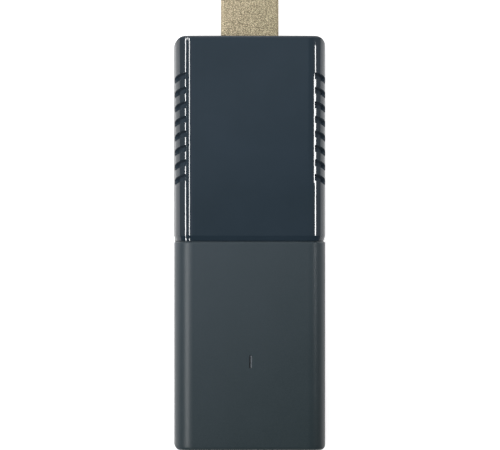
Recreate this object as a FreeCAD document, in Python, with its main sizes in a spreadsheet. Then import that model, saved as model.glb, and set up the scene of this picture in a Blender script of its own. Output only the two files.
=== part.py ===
import FreeCAD, Part
import math
import os
import re
import Sketcher

# Streaming media stick, in millimetres.
# X runs across the stick, Y along it towards the tip of the video plug, Z up.
# The origin is the centre of the housing's flat underside.

# Driving sizes
SIZES = {
    # Housing
    "case_length": 100.0,
    "case_width": 36.4,
    "case_height": 14.0,
    "wall": 1.5,
    "shoulder_radius": 4.2,
    "least_radius": 0.2,
    "front_corner_radius": 2.6,
    "rear_corner_radius": 1.5,
    "front_edge_bevel": 0.35,
    "rear_edge_radius": 0.9,
    # Joint between the two covers, seen on top at mid-length
    "seam_offset": 0.48,
    "seam_gap": 0.15,
    "bevel_length": 1.25,
    "bevel_depth": 0.35,
    "seam_edge_bevel": 0.3,
    "seam_lip_length": 1.2,
    # Base shell and the lip that locates the covers on it
    "parting_height": 4.4,
    "base_inset": 0.3,
    "base_edge_radius": 1.0,
    "base_edge_gap": 0.1,
    "lip_height": 2.0,
    "lip_thickness": 0.65,
    "lip_clearance": 0.1,
    # Snap catches on the covers and their windows in the lip
    "catch_width": 4.0,
    "catch_height": 0.7,
    "catch_depth": 0.5,
    "catch_rise": 0.7,
    "catch_clearance": 0.15,
    "catch_offset": 9.0,
    "catch_pitch": 30.0,
    # Raked slots in both shoulders of the front cover, with a thin floor
    "vent_count": 8,
    "vent_pitch": 3.5,
    "vent_width": 1.6,
    "vent_rake": 23.0,
    "vent_from_front": 9.5,
    "vent_inset": 1.55,
    "vent_depth": 3.7,
    "vent_floor": 0.5,
    # Ribs under the roof and on the floor
    "rib_thickness": 1.0,
    "roof_rib_depth": 1.0,
    "rib_side_gap": 2.5,
    "seam_rib_offset": 4.0,
    # Video plug
    "plug_width": 13.9,
    "plug_height": 4.45,
    "plug_reach": 9.2,
    "plug_sunk_length": 7.4,
    "plug_chamfer": 1.75,
    "plug_corner_radius": 0.6,
    "plug_wall": 0.35,
    "plug_clearance": 0.2,
    "plug_drop": 1.7,
    "plug_tab_width": 1.9,
    "plug_tab_length": 1.8,
    "latch_width": 1.8,
    "latch_length": 2.2,
    "latch_spacing": 6.2,
    "latch_from_tip": 3.4,
    "insulator_recess": 0.6,
    "insulator_clearance": 0.05,
    "insulator_back": 0.5,
    "slot_width": 10.9,
    "slot_height": 2.1,
    "slot_depth": 7.6,
    "contact_pitch": 1.0,
    "contact_width": 0.42,
    "contact_thickness": 0.2,
    "contact_end_gap": 0.5,
    "contact_tail": 1.5,
    "upper_contact_count": 10,
    # Main board and its screws
    "board_thickness": 1.0,
    "board_side_gap": 1.9,
    "board_end_gap": 0.6,
    "board_corner_radius": 1.0,
    "board_notch_clearance": 0.4,
    "hole_side_inset": 2.3,
    "front_hole_from_front": 13.5,
    "rear_hole_from_rear": 20.0,
    "screw_core": 1.6,
    "screw_length": 4.0,
    "screw_head": 3.4,
    "screw_head_height": 1.2,
    "screw_clearance": 0.05,
    "screw_recess_length": 2.0,
    "screw_recess_width": 0.45,
    "pilot_spare": 0.3,
    "board_hole": 2.2,
    "boss_wall": 1.2,
    # Processor, its thermal pad, heat sink and shield fence
    "processor_side": 14.0,
    "processor_height": 1.2,
    "processor_rim": 0.5,
    "processor_from_front": 24.0,
    "pad_side": 12.0,
    "pad_thickness": 0.5,
    "sink_width": 24.0,
    "sink_length": 25.0,
    "sink_base": 0.9,
    "sink_roof_gap": 0.3,
    "fin_count": 9,
    "fin_thickness": 0.8,
    "fence_width": 25.0,
    "fence_margin": 1.2,
    "fence_height": 1.4,
    "fence_sheet": 0.2,
    "fence_flange": 1.0,
    # Memory and flash chips
    "memory_width": 8.0,
    "memory_length": 10.5,
    "memory_height": 1.0,
    "memory_gap": 1.6,
    "flash_width": 11.5,
    "flash_length": 13.0,
    "flash_height": 1.0,
    # Power parts in a row behind the seam
    "power_row_offset": 3.2,
    "power_chip_side": 4.0,
    "power_chip_height": 0.85,
    "inductor_side": 3.0,
    "inductor_height": 1.5,
    "inductor_pitch": 4.2,
    "crystal_width": 3.2,
    "crystal_length": 2.5,
    "crystal_height": 0.7,
    "capacitor_length": 1.6,
    "capacitor_width": 0.8,
    "capacitor_height": 0.8,
    "capacitor_pitch": 2.4,
    # Radio module and the two stamped antennas
    "radio_side": 12.0,
    "radio_board": 0.8,
    "radio_from_rear": 32.5,
    "radio_offset": 5.5,
    "shield_side": 10.8,
    "shield_height": 1.3,
    "antenna_length": 9.5,
    "antenna_width": 2.4,
    "antenna_sheet": 0.3,
    "antenna_from_rear": 7.5,
    "antenna_side_inset": 0.6,
    "antenna_roof_gap": 2.3,
    "antenna_slot": 0.7,
    "antenna_slot_margin": 0.9,
    "antenna_leg_pitch": 3.2,
    # Power socket
    "socket_width": 7.5,
    "socket_height": 2.5,
    "socket_length": 5.2,
    "socket_chamfer": 0.9,
    "socket_wall": 0.25,
    "socket_corner_radius": 0.35,
    "socket_recess": 0.7,
    "socket_clearance": 0.25,
    "tongue_width": 3.8,
    "tongue_thickness": 0.6,
    "tongue_recess": 0.8,
    "tongue_base": 1.2,
    "tongue_rise": 0.15,
    "tongue_clearance": 0.02,
    "power_contact_pitch": 0.65,
    "power_contact_width": 0.38,
    "power_contact_thickness": 0.12,
    "power_contact_inset": 0.3,
    "power_contact_gap": 0.1,
    # Status light
    "light_length": 3.0,
    "light_width": 0.5,
    "light_from_rear": 21.35,
    "light_recess": 0.1,
    "light_clearance": 0.05,
    "light_foot_width": 2.4,
    "light_foot_length": 4.6,
    "light_foot_height": 0.8,
    "light_stem_width": 1.4,
    "led_width": 1.6,
    "led_length": 0.8,
    "led_height": 0.6,
    "led_gap": 0.3,
    # Reset switch behind its pinhole
    "pinhole_radius": 0.6,
    "switch_offset": 9.5,
    "switch_width": 4.7,
    "switch_length": 3.5,
    "switch_height": 1.65,
    "switch_edge_gap": 1.0,
    "switch_wall": 0.7,
    "switch_floor": 0.3,
    "switch_cover": 0.15,
    "plunger_width": 1.8,
    "plunger_height": 0.85,
    "plunger_head": 2.6,
    "plunger_head_length": 0.6,
    "plunger_reach": 0.65,
    "plunger_clearance": 0.1,
    "plunger_travel": 0.25,
    "dome_sheet": 0.1,
    "dome_rise": 0.45,
    "dome_gap": 0.03,
}

# How many of each small piece
COIL_COUNT = 3
CAPACITOR_COUNT = 9
POWER_CONTACT_COUNT = 5

# How far a cut runs past a surface, and a joined feature into its neighbour
OPEN_END = 1.0
DRAFT_OVERLAP = 0.05

# How near an edge's box has to be to a face, and how long a long edge is at least
NEAR_FACE = 0.01
LONG_EDGE = 1.0

# Half the angle between a sleeve's side and its cut corner
HALF_TURN = 22.5

# Places and lengths worked out from the driving sizes
DERIVED = {
    "half_width": "case_width / 2",
    "front_face": "case_length / 2",
    "rear_face": "-case_length / 2",
    "inner_half": "case_width / 2 - wall",
    "inner_front": "case_length / 2 - wall",
    "inner_rear": "wall - case_length / 2",
    "roof": "case_height - wall",
    "inner_radius": "max(shoulder_radius - wall; least_radius)",
    "front_cover_end": "seam_offset + seam_gap / 2",
    "rear_cover_end": "seam_offset - seam_gap / 2",
    "bevel_start": "front_cover_end + bevel_length",
    "lip_room": "lip_thickness + lip_clearance",
    "lip_top": "parting_height + lip_height",
    "rebate_top": "lip_top + lip_clearance",
    "lip_half": "inner_half + lip_thickness",
    "rebate_half": "inner_half + lip_room",
    "base_half": "half_width - base_inset",
    "catch_bottom": "parting_height + catch_rise",
    "catch_middle": "catch_bottom + catch_height / 2",
    "vent_start": "half_width - shoulder_radius + vent_inset",
    "vent_end_radius": "vent_width * cos(vent_rake) / 2",
    "vent_end_height": "case_height - vent_depth + vent_end_radius",
    "vent_top": f"case_height + {OPEN_END}",
    "vent_row": "front_face - vent_from_front",
    "vent_end_row": "vent_row - (case_height - vent_end_height) * tan(vent_rake)",
    "vent_top_row": "vent_row + (vent_top - case_height) * tan(vent_rake)",
    "rib_half": "inner_half - rib_side_gap",
    "plug_bottom": "parting_height + plug_clearance",
    "plug_top": "plug_bottom + plug_height",
    "plug_tip": "front_face + plug_reach",
    "plug_rear": "front_face - plug_sunk_length",
    "plug_hole_half": "plug_width / 2 + plug_clearance",
    "board_bottom": "plug_bottom + plug_drop",
    "board_top": "board_bottom + board_thickness",
    "board_half": "inner_half - board_side_gap",
    "board_front": "inner_front - board_end_gap",
    "board_rear": "inner_rear + board_end_gap",
    "notch_half": "plug_width / 2 + board_notch_clearance",
    "notch_row": "plug_rear - board_notch_clearance",
    "hole_column": "board_half - hole_side_inset",
    "front_hole_row": "front_face - front_hole_from_front",
    "rear_hole_row": "rear_face + rear_hole_from_rear",
    "boss_radius": "screw_core / 2 + screw_clearance + boss_wall",
    "insulator_tip": "plug_tip - insulator_recess",
    "insulator_rear": "plug_rear + insulator_back",
    "slot_floor": "insulator_tip - slot_depth",
    "slot_middle": "plug_bottom + plug_height / 2",
    "slot_bottom": "slot_middle - slot_height / 2",
    "slot_top": "slot_middle + slot_height / 2",
    "processor_row": "front_face - processor_from_front",
    "processor_top": "board_top + processor_height",
    "pad_top": "processor_top + pad_thickness",
    "sink_floor": "pad_top + sink_base",
    "sink_top": "roof - sink_roof_gap",
    "fin_pitch": "(sink_width - fin_thickness) / (fin_count - 1)",
    "memory_row": "processor_row - processor_side / 2 - memory_gap - memory_length / 2",
    "fence_front": "processor_row + processor_side / 2 + fence_margin",
    "fence_rear": "memory_row - memory_length / 2 - fence_margin",
    "power_row": "seam_offset - power_row_offset",
    "power_chip_column": f"-{COIL_COUNT / 2} * inductor_pitch - power_chip_side / 2",
    "crystal_column": f"{COIL_COUNT / 2} * inductor_pitch + crystal_width / 2",
    "radio_row": "rear_face + radio_from_rear",
    "radio_top": "board_top + radio_board",
    "antenna_rear": "rear_face + antenna_from_rear",
    "antenna_front": "antenna_rear + antenna_length",
    "antenna_outer": "board_half - antenna_side_inset",
    "antenna_top": "roof - antenna_roof_gap",
    "socket_mouth": "rear_face + socket_recess",
    "socket_front": "socket_mouth + socket_length",
    "socket_top": "board_top + socket_height",
    "tongue_bottom": "board_top + socket_height / 2 - tongue_thickness / 2 + tongue_rise",
    "tongue_tip": "socket_mouth + tongue_recess",
    "light_row": "rear_face + light_from_rear",
    "led_top": "board_top + led_height",
    "switch_rear": "board_rear + switch_edge_gap",
    "switch_front": "switch_rear + switch_length",
    "switch_top": "board_top + switch_height",
    "plunger_middle": "board_top + switch_height / 2",
    "chamber_rear": "switch_rear + switch_wall",
    "chamber_front": "switch_front - switch_wall",
    "chamber_half": "plunger_head / 2 + plunger_clearance",
    "head_rear": "chamber_rear + plunger_clearance / 2",
    "head_front": "head_rear + plunger_head_length",
    "dome_peak": "head_front + plunger_travel + dome_gap",
}

doc = FreeCAD.newDocument("media_stick")
sheet = doc.addObject("Spreadsheet::Sheet", "sizes")
for row, (alias, value) in enumerate(SIZES.items(), start=1):
    sheet.set(f"A{row}", alias)
    sheet.set(f"B{row}", str(value))
    sheet.setAlias(f"B{row}", alias)
doc.recompute()


def formula(text):
    """Expression over the sheet's cells for a formula written in plain size names."""
    def name(match):
        word = match.group(0)
        if word in DERIVED:
            return f"({formula(DERIVED[word])})"
        return f"sizes.{word}" if word in SIZES else word
    return re.sub(r"[a-z][a-z_]+", name, str(text))


def number(text):
    """Present value of a formula."""
    return float(sheet.evalExpression(formula(text).replace("sizes.", "")))


def bind(item, **formulas):
    """Tie properties to formulas; a double underscore stands for a dot."""
    for name, text in formulas.items():
        item.setExpression(name.replace("__", "."), formula(text))


def place(item, x="0", y="0", z="0"):
    bind(item, Placement__Base__x=x, Placement__Base__y=y, Placement__Base__z=z)
    return item


# Primitive solids, for pieces that are plain blocks and discs

def block(label, x, y, z):
    """Box between a low and a high formula along each axis."""
    box = doc.addObject("Part::Box", label)
    bind(box, Length=f"({x[1]}) - ({x[0]})", Width=f"({y[1]}) - ({y[0]})",
         Height=f"({z[1]}) - ({z[0]})")
    return place(box, x[0], y[0], z[0])


def centred(label, x, y, width, length, bottom, height):
    """Box given by its centre in plan, its plan size, its bottom and its height."""
    return block(label, (f"{x} - {width} / 2", f"{x} + {width} / 2"),
                 (f"{y} - {length} / 2", f"{y} + {length} / 2"), (bottom, f"{bottom} + {height}"))


def upright(label, radius, x, y, bottom, height):
    """Upright cylinder."""
    cylinder = doc.addObject("Part::Cylinder", label)
    bind(cylinder, Radius=radius, Height=height)
    return place(cylinder, x, y, bottom)


def cut(label, base, tool):
    item = doc.addObject("Part::Cut", label)
    item.Base = base
    item.Tool = tool
    return item


def fuse(label, pieces):
    item = doc.addObject("Part::MultiFuse", label)
    item.Shapes = pieces
    item.Refine = True
    return item


def group(label, pieces):
    """Separate solids that share one node."""
    item = doc.addObject("Part::Compound", label)
    item.Links = pieces
    return item


# Bodies made from sketched profiles

def new_body(label):
    body = doc.addObject("PartDesign::Body", label)
    body.Label = label
    return body


def origin_feature(body, role):
    return next(item for item in body.Origin.OriginFeatures if item.Role == role)


def new_sketch(body, plane, offset):
    """Sketch on an origin plane of its body, moved along the plane's normal."""
    sketch = body.newObject("Sketcher::SketchObject", f"{body.Label}_profile")
    sketch.AttachmentSupport = (origin_feature(body, plane), [""])
    sketch.MapMode = "FlatFace"
    bind(sketch, AttachmentOffset__Base__z=offset)
    return sketch


def pin(sketch, kind, geometry, vertex, text):
    """Hold one coordinate of a point at a formula's value."""
    index = sketch.addConstraint(Sketcher.Constraint(kind, -1, 1, geometry, vertex, number(text)))
    sketch.setExpression(f"Constraints[{index}]", formula(text))


def arc_between(start, end, centre):
    """Minor arc from one point to the next, and whether it runs anticlockwise."""
    angles = [math.atan2(point[1] - centre[1], point[0] - centre[0]) for point in (start, end)]
    turn = (angles[1] - angles[0]) % (2 * math.pi)
    anticlockwise = turn <= math.pi + 1e-6
    first, last = angles if anticlockwise else angles[::-1]
    radius = math.dist(start, centre)
    circle = Part.Circle(FreeCAD.Vector(*centre, 0), FreeCAD.Vector(0, 0, 1), radius)
    return Part.ArcOfCircle(circle, first, first + (last - first) % (2 * math.pi)), anticlockwise


def outline(sketch, points):
    """Closed outline through points (x, y), or (x, y, centre x, centre y) where an arc ends."""
    spots = [(number(point[0]), number(point[1])) for point in points]
    count = len(points)
    first = sketch.GeometryCount
    heads = []
    for index in range(count):
        following = (index + 1) % count
        start, end = spots[index], spots[following]
        if len(points[following]) == 4:
            centre = tuple(number(text) for text in points[following][2:])
            arc, anticlockwise = arc_between(start, end, centre)
            sketch.addGeometry(arc, False)
            heads.append((1, 2) if anticlockwise else (2, 1))
        else:
            ends = [FreeCAD.Vector(*spot, 0) for spot in (start, end)]
            sketch.addGeometry(Part.LineSegment(*ends), False)
            heads.append((1, 2))
    for index in range(count):
        following = (index + 1) % count
        sketch.addConstraint(Sketcher.Constraint(
            "Coincident", first + index, heads[index][1], first + following, heads[following][0]))
        pin(sketch, "DistanceX", first + index, heads[index][0], points[index][0])
        pin(sketch, "DistanceY", first + index, heads[index][0], points[index][1])
        if len(points[following]) == 4:
            start, end = spots[index], spots[following]
            upright_chord = abs(end[1] - start[1]) > abs(end[0] - start[0])
            kind, text = ("DistanceX", points[following][2]) if upright_chord else (
                "DistanceY", points[following][3])
            pin(sketch, kind, first + index, 3, text)


def ring(sketch, radius, x, y):
    """Full circle about a point."""
    circle = Part.Circle(FreeCAD.Vector(number(x), number(y), 0), FreeCAD.Vector(0, 0, 1),
                         number(radius))
    index = sketch.addGeometry(circle, False)
    pin(sketch, "DistanceX", index, 3, x)
    pin(sketch, "DistanceY", index, 3, y)
    hold = sketch.addConstraint(Sketcher.Constraint("Radius", index, number(radius)))
    sketch.setExpression(f"Constraints[{hold}]", formula(radius))


def pad(body, sketch, length, reverse=False):
    feature = body.newObject("PartDesign::Pad", f"{body.Label}_pad")
    feature.Profile = sketch
    feature.Reversed = reverse
    bind(feature, Length=length)
    return feature


def pocket(body, sketch, length, reverse=False):
    feature = body.newObject("PartDesign::Pocket", f"{body.Label}_pocket")
    feature.Profile = sketch
    feature.Reversed = reverse
    bind(feature, Length=length)
    return feature


def row_along_y(body, features, count, pitch, towards_rear):
    """Repeat features along the stick."""
    pattern = body.newObject("PartDesign::LinearPattern", f"{body.Label}_row")
    pattern.Originals = features
    pattern.Direction = (origin_feature(body, "Y_Axis"), [""])
    pattern.Reversed = towards_rear
    bind(pattern, Occurrences=count, Length=f"({count} - 1) * {pitch}")
    body.Tip = pattern
    return pattern


def row_along_x(body, features, count, pitch):
    pattern = body.newObject("PartDesign::LinearPattern", f"{body.Label}_row")
    pattern.Originals = features
    pattern.Direction = (origin_feature(body, "X_Axis"), [""])
    bind(pattern, Occurrences=count, Length=f"({count} - 1) * {pitch}")
    body.Tip = pattern
    return pattern


def round_edges(body, base, test, radius, kind="PartDesign::Fillet", size="Radius"):
    """Round or bevel the edges of the last feature whose boxes pass a test."""
    doc.recompute()
    names = [f"Edge{index}" for index, edge in enumerate(base.Shape.Edges, start=1)
             if test(edge.BoundBox)]
    feature = body.newObject(kind, f"{body.Label}_edges")
    feature.Base = (base, names)
    bind(feature, **{size: radius})
    return feature


def rectangle(x0, x1, y0, y1):
    return [(x0, y0), (x1, y0), (x1, y1), (x0, y1)]


def arch(half, top, radius, bottom):
    """Section of a cover: flat roof, rounded shoulders, upright walls."""
    side = f"{half} - ({radius})"
    shoulder = f"{top} - ({radius})"
    return [
        (f"-({half})", bottom),
        (half, bottom),
        (half, shoulder),
        (side, top, side, shoulder),
        (f"-({side})", top),
        (f"-({half})", shoulder, f"-({side})", shoulder),
    ]


def backwards(points):
    """Open run of outline points in reverse, with each arc's centre kept on its arc."""
    turned = [points[-1][:2]]
    for index in range(len(points) - 1, 0, -1):
        turned.append(points[index - 1][:2] + points[index][2:])
    return turned


def arch_band(outer, inner):
    """Section of a thin arch between two arches, open below."""
    return outer[1:] + outer[:1] + backwards(inner[1:] + inner[:1])


def rounded_plan(half, rear, front, rear_radius, front_radius):
    """Plan outline with its own corner radius at each end."""
    rear_side = f"{half} - ({rear_radius})"
    front_side = f"{half} - ({front_radius})"
    rear_corner = f"{rear} + {rear_radius}"
    front_corner = f"{front} - ({front_radius})"
    return [
        (f"-({rear_side})", rear, f"-({rear_side})", rear_corner),
        (rear_side, rear),
        (half, rear_corner, rear_side, rear_corner),
        (half, front_corner),
        (front_side, front, front_side, front_corner),
        (f"-({front_side})", front),
        (f"-({half})", front_corner, f"-({front_side})", front_corner),
        (f"-({half})", rear_corner),
    ]


def corner_waste(side, end, radius, sign_x, sign_y):
    """What is cut from a square corner to leave a round one in plan."""
    out_x = f"{sign_x} * ({side} + {OPEN_END})"
    edge_x = f"{sign_x} * ({side})"
    arc_x = f"{sign_x} * ({side} - {radius})"
    out_y = f"{sign_y} * ({end} + {OPEN_END})"
    edge_y = f"{sign_y} * ({end})"
    arc_y = f"{sign_y} * ({end} - {radius})"
    return [(edge_x, arc_y, arc_x, arc_y), (out_x, arc_y), (out_x, out_y), (arc_x, out_y),
            (arc_x, edge_y)]


# Features that both covers share

def round_plan_corners(body, end, radius, sign):
    """Round the two upright corners at the end wall."""
    sketch = new_sketch(body, "XY_Plane", "0")
    for side_sign in (-1, 1):
        outline(sketch, corner_waste("half_width", end, radius, side_sign, sign))
    return pocket(body, sketch, f"case_height + {OPEN_END}", reverse=True)


def hollow_out(body, from_row, length):
    """Space under the roof, open at the seam. The sketch plane's normal points to the rear."""
    sketch = new_sketch(body, "XZ_Plane", f"-({from_row})")
    outline(sketch, arch("inner_half", "roof", "inner_radius", f"parting_height - {OPEN_END}"))
    return pocket(body, sketch, length, reverse=True)


def lip_rebate(body, rear, front, radius):
    """Step round the foot of the walls that takes the base shell's lip."""
    sketch = new_sketch(body, "XY_Plane", "rebate_top")
    outline(sketch, rounded_plan("rebate_half", rear, front, radius, radius))
    return pocket(body, sketch, f"rebate_top - parting_height + {OPEN_END}")


def snap_catches(body, first_row, towards_rear):
    """Wedges inside both walls that spring into the lip's windows."""
    sketch = new_sketch(body, "XZ_Plane", f"-({first_row}) - catch_width / 2")
    for sign in (-1, 1):
        root = f"{sign} * (rebate_half + {DRAFT_OVERLAP})"
        nose = f"{sign} * (rebate_half - catch_depth)"
        outline(sketch, [(root, "catch_bottom"), (nose, "catch_middle"),
                         (nose, "catch_bottom + catch_height"),
                         (root, "catch_bottom + catch_height")])
    catch = pad(body, sketch, "catch_width")
    return row_along_y(body, [catch], 2, "catch_pitch", towards_rear)


def roof_rib(body, row):
    """Stiffening rib across the underside of the roof."""
    sketch = new_sketch(body, "XZ_Plane", f"-({row}) - rib_thickness / 2")
    outline(sketch, rectangle("-rib_half", "rib_half", "roof - roof_rib_depth",
                              f"roof + {DRAFT_OVERLAP}"))
    return pad(body, sketch, "rib_thickness")


# Covers and base shell

def make_front_cover():
    """Gloss cover over the front half, with raked slots and a bevelled seam edge."""
    body = new_body("front_cover")
    section = ("half_width", "case_height", "shoulder_radius", "parting_height")
    main = new_sketch(body, "XZ_Plane", "-front_face")
    outline(main, arch(*section))
    shell = pad(body, main, "front_face - bevel_start")
    front_wall = number("front_face") - NEAR_FACE
    sill = number("parting_height") + NEAR_FACE
    round_edges(body, shell, lambda box: box.YMin > front_wall and box.ZMax > sill,
                "front_edge_bevel", "PartDesign::Chamfer", "Size")
    full = new_sketch(body, "XZ_Plane", "-bevel_start")
    outline(full, arch(*section))
    narrow = new_sketch(body, "XZ_Plane", "-front_cover_end")
    outline(narrow, arch("half_width - bevel_depth", "case_height - bevel_depth",
                         "shoulder_radius - bevel_depth", "parting_height"))
    bevel = body.newObject("PartDesign::AdditiveLoft", "front_cover_bevel")
    bevel.Profile = full
    bevel.Sections = [narrow]
    bevel.Ruled = True
    round_plan_corners(body, "front_face", "front_corner_radius", 1)
    hollow_out(body, "inner_front", f"inner_front - front_cover_end + {OPEN_END}")
    lip_rebate(body, f"front_cover_end - {OPEN_END} - front_corner_radius",
               "inner_front + lip_room", "front_corner_radius - wall + lip_room")
    cut_plug_opening(body)
    cut_seam_rebate(body)
    cut_vents(body)
    floor_vents(body)
    snap_catches(body, "seam_offset + catch_offset", False)
    roof_rib(body, "seam_offset + seam_rib_offset")
    return body


def cut_plug_opening(body):
    """Opening in the front wall that closes over the plug, down to the parting."""
    sketch = new_sketch(body, "XZ_Plane", f"-front_face - {OPEN_END}")
    outline(sketch, rectangle("-plug_hole_half", "plug_hole_half",
                              f"parting_height - {OPEN_END}", "plug_top + plug_clearance"))
    pocket(body, sketch, f"wall + 2 * {OPEN_END}", reverse=True)


def cut_seam_rebate(body):
    """Step inside the seam edge that takes the rear cover's lip."""
    depth = "seam_gap + seam_lip_length + lip_clearance"
    sketch = new_sketch(body, "XZ_Plane", f"-(front_cover_end - seam_gap + {depth})")
    outline(sketch, arch("rebate_half", "roof + lip_room", "inner_radius + lip_room",
                         f"parting_height - {OPEN_END}"))
    pocket(body, sketch, f"{depth} + {OPEN_END}", reverse=True)


def vent_profile():
    """Side view of one raked slot: open above, half-round at its lower end."""
    across = "vent_end_radius * cos(vent_rake)"
    along = "vent_end_radius * sin(vent_rake)"
    return [
        ("vent_top_row - vent_width / 2", "vent_top"),
        (f"vent_end_row - {across}", f"vent_end_height + {along}"),
        (f"vent_end_row + {across}", f"vent_end_height - {along}",
         "vent_end_row", "vent_end_height"),
        ("vent_top_row + vent_width / 2", "vent_top"),
    ]


def cut_vents(body):
    """A row of raked slots through each shoulder, from just outside the flat of the roof."""
    slots = []
    for sign in (-1, 1):
        sketch = new_sketch(body, "YZ_Plane", f"{sign} * vent_start")
        outline(sketch, vent_profile())
        slots.append(pocket(body, sketch, f"shoulder_radius + {OPEN_END}", reverse=sign > 0))
    row_along_y(body, slots, "vent_count", "vent_pitch", True)


def floor_vents(body):
    """Thin inner skin of the shoulders that closes the slots from inside."""
    sketch = new_sketch(body, "XZ_Plane", "-(vent_row + vent_pitch / 2)")
    outer = arch("inner_half + vent_floor", "roof + vent_floor", "inner_radius + vent_floor",
                 "rebate_top")
    inner = arch("inner_half", "roof", "inner_radius", "rebate_top")
    outline(sketch, arch_band(outer, inner))
    pad(body, sketch, "vent_count * vent_pitch + vent_depth")


def make_rear_cover():
    """Matte cover over the rear half, with the seam lip, light slit and rear openings."""
    body = new_body("rear_cover")
    main = new_sketch(body, "XZ_Plane", "-rear_cover_end")
    outline(main, arch("half_width", "case_height", "shoulder_radius", "parting_height"))
    shell = pad(body, main, "rear_cover_end - rear_face")
    rear_wall = number("rear_face") + NEAR_FACE
    seam_row = number("rear_cover_end") - NEAR_FACE
    sill = number("parting_height") + NEAR_FACE
    rounded = round_edges(body, shell, lambda box: box.YMax < rear_wall and box.ZMax > sill,
                          "rear_edge_radius")
    round_edges(body, rounded, lambda box: box.YMin > seam_row and box.ZMax > sill,
                "seam_edge_bevel", "PartDesign::Chamfer", "Size")
    round_plan_corners(body, "front_face", "rear_corner_radius", -1)
    open_seam = f"rear_cover_end + {OPEN_END}"
    hollow_out(body, open_seam, f"{open_seam} - inner_rear")
    lip_rebate(body, "inner_rear - lip_room", f"{open_seam} + rear_corner_radius",
               "rear_corner_radius - wall + lip_room")
    add_seam_lip(body)
    cut_socket_opening(body)
    cut_pinhole(body)
    cut_light_slit(body)
    snap_catches(body, "seam_offset - catch_offset", True)
    roof_rib(body, "seam_offset - seam_rib_offset")
    return body


def add_seam_lip(body):
    """Thin arch that reaches from the rear cover into the front cover's step."""
    sketch = new_sketch(body, "XZ_Plane", "-(rear_cover_end + seam_lip_length)")
    outer = arch("lip_half", "roof + lip_thickness", "inner_radius + lip_thickness", "rebate_top")
    inner = arch("inner_half", "roof", "inner_radius", "rebate_top")
    outline(sketch, arch_band(outer, inner))
    return pad(body, sketch, "seam_lip_length + seam_lip_length")


def cut_socket_opening(body):
    """Rounded opening in the rear wall round the power socket."""
    half = "socket_width / 2 + socket_clearance"
    sketch = new_sketch(body, "XZ_Plane", f"-inner_rear - {OPEN_END}")
    outline(sketch, rectangle(f"-({half})", half, "board_top - socket_clearance",
                              "socket_top + socket_clearance"))
    pocket(body, sketch, f"wall + 2 * {OPEN_END}", reverse=True)


def cut_pinhole(body):
    """Pinhole in the rear wall in line with the reset plunger."""
    sketch = new_sketch(body, "XZ_Plane", f"-inner_rear - {OPEN_END}")
    ring(sketch, "pinhole_radius", "switch_offset", "plunger_middle")
    pocket(body, sketch, f"wall + 2 * {OPEN_END}", reverse=True)


def cut_light_slit(body):
    """Slit in the roof for the status light."""
    sketch = new_sketch(body, "XY_Plane", f"case_height + {OPEN_END}")
    outline(sketch, rectangle("-light_width / 2", "light_width / 2",
                              "light_row - light_length / 2", "light_row + light_length / 2"))
    pocket(body, sketch, f"wall + 2 * {OPEN_END}")


def make_base_shell():
    """Lower shell: floor, low walls, locating lip with snap windows, bosses and ribs."""
    body = new_body("base_shell")
    plan = rounded_plan("base_half", "rear_face + base_inset", "front_face - base_inset",
                        "rear_corner_radius - base_inset", "front_corner_radius - base_inset")
    sketch = new_sketch(body, "XY_Plane", "0")
    outline(sketch, plan)
    block_pad = pad(body, sketch, "parting_height")
    round_edges(body, block_pad, lambda box: box.ZMax < NEAR_FACE,
                "min(base_edge_radius; rear_corner_radius - base_inset - base_edge_gap)")
    lip = new_sketch(body, "XY_Plane", "wall")
    outline(lip, rounded_plan("lip_half", "inner_rear - lip_thickness",
                              "inner_front + lip_thickness",
                              "rear_corner_radius - wall + lip_thickness",
                              "front_corner_radius - wall + lip_thickness"))
    pad(body, lip, "lip_top - wall")
    inside = new_sketch(body, "XY_Plane", "wall")
    outline(inside, rectangle("-inner_half", "inner_half", "inner_rear", "inner_front"))
    pocket(body, inside, "case_height", reverse=True)
    clear_lip_for_plug_and_socket(body)
    cut_snap_windows(body)
    add_bosses(body)
    add_floor_ribs(body)
    return body


def clear_lip_for_plug_and_socket(body):
    """Gaps in the lip where the plug and the power socket pass over the base shell."""
    sketch = new_sketch(body, "XY_Plane", "parting_height")
    outline(sketch, rectangle("-plug_hole_half", "plug_hole_half",
                              f"inner_front - {OPEN_END}", f"front_face + {OPEN_END}"))
    pocket(body, sketch, f"lip_height + {OPEN_END}", reverse=True)


def cut_snap_windows(body):
    """Windows through the lip on both sides, one for each catch."""
    for start, towards_rear in (("seam_offset + catch_offset", False),
                                ("seam_offset - catch_offset", True)):
        sketch = new_sketch(body, "XZ_Plane",
                            f"-({start}) - catch_width / 2 - catch_clearance")
        for sign in (-1, 1):
            outline(sketch, rectangle(f"{sign} * (inner_half - {OPEN_END})",
                                      f"{sign} * (lip_half + lip_clearance)",
                                      "catch_bottom - catch_clearance",
                                      "catch_bottom + catch_height + catch_clearance"))
        window = pocket(body, sketch, "catch_width + 2 * catch_clearance", reverse=True)
        row_along_y(body, [window], 2, "catch_pitch", towards_rear)


def boss_places():
    return [(f"{sign} * hole_column", row) for sign in (-1, 1)
            for row in ("front_hole_row", "rear_hole_row")]


def add_bosses(body):
    """Screw bosses that carry the board, each with a blind pilot hole."""
    sketch = new_sketch(body, "XY_Plane", f"wall - {DRAFT_OVERLAP}")
    for x, y in boss_places():
        ring(sketch, "boss_radius", x, y)
    pad(body, sketch, f"board_bottom - wall + {DRAFT_OVERLAP}")
    holes = new_sketch(body, "XY_Plane", "board_bottom")
    for x, y in boss_places():
        ring(holes, "screw_core / 2 + screw_clearance", x, y)
    pocket(body, holes, "screw_length - board_thickness + pilot_spare")


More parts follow.
